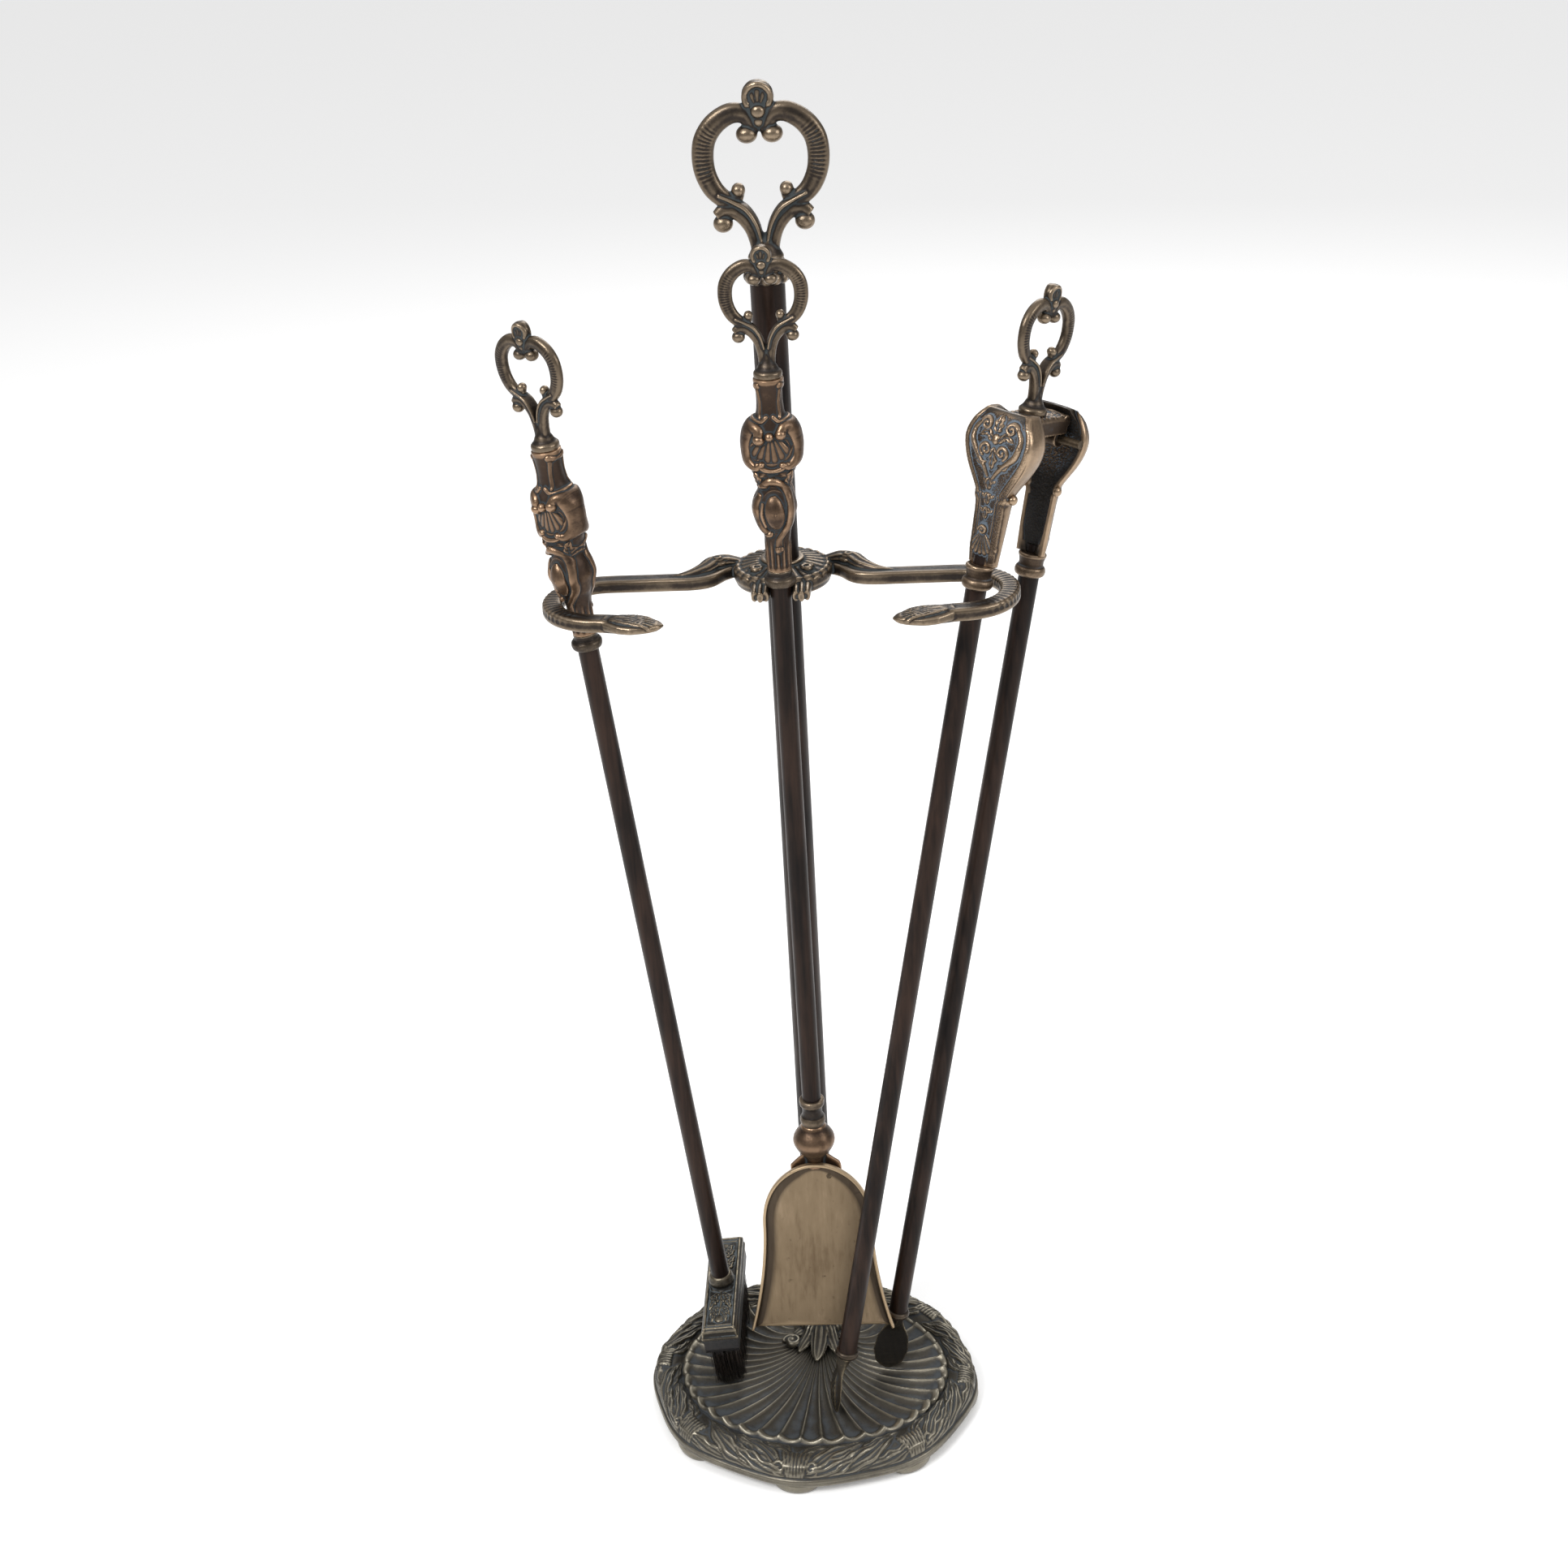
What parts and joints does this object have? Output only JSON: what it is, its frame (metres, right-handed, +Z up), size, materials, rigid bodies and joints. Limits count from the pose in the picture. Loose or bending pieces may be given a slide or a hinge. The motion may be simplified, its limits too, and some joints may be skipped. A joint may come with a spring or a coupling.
{
  "type": "fireplace tool set",
  "caption": "Free-standing hearth companion set: an ornate oval base and post whose hanger carries a brush, a shovel and tongs with loop handles and slim rods.",
  "frame": {"origin": "centre of the base's outline, on the floor", "axes": "+X to the right of a person facing the shovel, +Y to the back, +Z up"},
  "size_m": [0.2699, 0.1616, 0.7],
  "materials": {
    "base": "aged, dark in the recesses",
    "castings": "aged, dark in the recesses",
    "brown_rods": "satin dark brown patina",
    "pan": "satin, brushed",
    "fasteners": "aged",
    "hidden_steel": "plain",
    "block": "painted black, satin",
    "bristles": "stiff dark hair"
  },
  "bodies": {
    "stand": {"base_casting": "base", "post_foot": "castings", "post_lower_tube": "brown_rods", "hanger": "castings", "post_upper_tube": "brown_rods", "post_collar": "castings", "post_handle": "castings", "tie_rod": "hidden_steel", "tie_rod_washer": "hidden_steel", "tie_rod_nut": "hidden_steel"},
    "brush": {"brush_handle": "castings", "brush_stud": "hidden_steel", "brush_grip": "castings", "brush_collar": "castings", "brush_rod": "brown_rods", "brush_socket": "castings", "brush_cover": "castings", "brush_screws": "fasteners", "brush_block": "block", "brush_bristles": "bristles"},
    "shovel": {"shovel_handle": "castings", "shovel_stud": "hidden_steel", "shovel_grip": "castings", "shovel_collar": "castings", "shovel_rod": "brown_rods", "shovel_ferrule": "castings", "shovel_knuckle": "castings", "shovel_rivets": "fasteners", "shovel_pan": "pan"},
    "tongs": {"tongs_handle": "castings", "tongs_stud": "hidden_steel", "tongs_crown": "castings", "tongs_pins": "fasteners", "right_arm": "castings", "right_bead": "castings", "right_rod": "brown_rods", "right_collar": "castings", "right_claw": "castings"},
    "tongs_left_leg": {"left_arm": "castings", "left_bead": "castings", "left_rod": "brown_rods", "left_collar": "castings", "left_claw": "castings"}
  },
  "joints": [
    {"name": "brush_lift", "type": "slide", "parent": "stand", "child": "brush", "axis": [-0.0982, -0.0338, 0.9946], "range_m": [0, 0.3]},
    {"name": "shovel_lift", "type": "slide", "parent": "stand", "child": "shovel", "axis": [-0.0052, 0, 1], "range_m": [0, 0.25]},
    {"name": "tongs_lift", "type": "slide", "parent": "stand", "child": "tongs", "axis": [0.1751, 0.0783, 0.9814], "range_m": [0, 0.35]},
    {"name": "tongs_hinge", "type": "hinge", "parent": "tongs", "child": "tongs_left_leg", "pos_m": [0.11008, 0.01622, 0.53956], "axis": [-0.763, 0.6408, 0.085], "range_deg": [-0.5, 10]}
  ]
}
